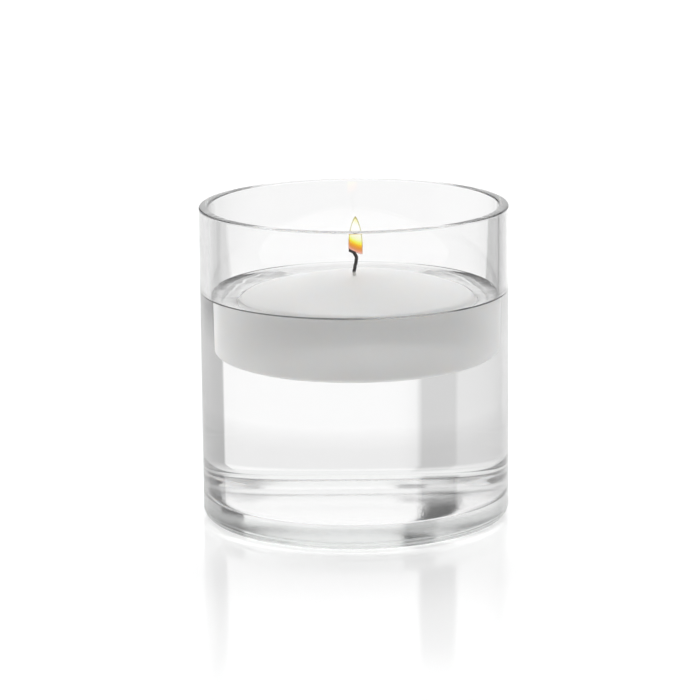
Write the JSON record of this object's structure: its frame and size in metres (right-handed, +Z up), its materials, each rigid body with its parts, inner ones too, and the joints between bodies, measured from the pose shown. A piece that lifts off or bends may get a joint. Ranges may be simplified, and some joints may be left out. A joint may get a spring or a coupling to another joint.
{
  "type": "floating candle bowl",
  "caption": "Clear glass cylinder bowl of water with a lit white candle floating in it.",
  "frame": {"origin": "centre of the vessel's foot, on the surface that it stands on", "axes": "+Z up along the vessel's axis; the picture looks along +Y, and the wick hooks over towards -X"},
  "size_m": [0.1016, 0.1016, 0.104],
  "materials": {
    "glass": "clear soda-lime glass, polished, with a fire-polished rim",
    "water": "clear still water",
    "wax": "white paraffin wax, moulded, satin, slightly translucent",
    "cotton_wick": "braided cotton, waxed, charred black where it is bare",
    "tinned_steel": "pressed tinplate",
    "flame": "candle flame, white core, yellow to orange edge"
  },
  "bodies": {
    "vessel": {"glass_vessel": "glass"},
    "water": {"water_fill": "water"},
    "candle": {"candle_wax": "wax", "wick": "cotton_wick", "wick_sustainer": "tinned_steel", "flame": "flame"}
  },
  "joints": [
    {"name": "float_turn", "type": "hinge", "parent": "vessel", "child": "water", "pos_m": [0, 0, 0.0415], "axis": [0, 0, 1], "continuous": true},
    {"name": "candle_lift", "type": "slide", "parent": "water", "child": "candle", "axis": [0, 0, 1], "range_m": [0, 0.09]}
  ]
}
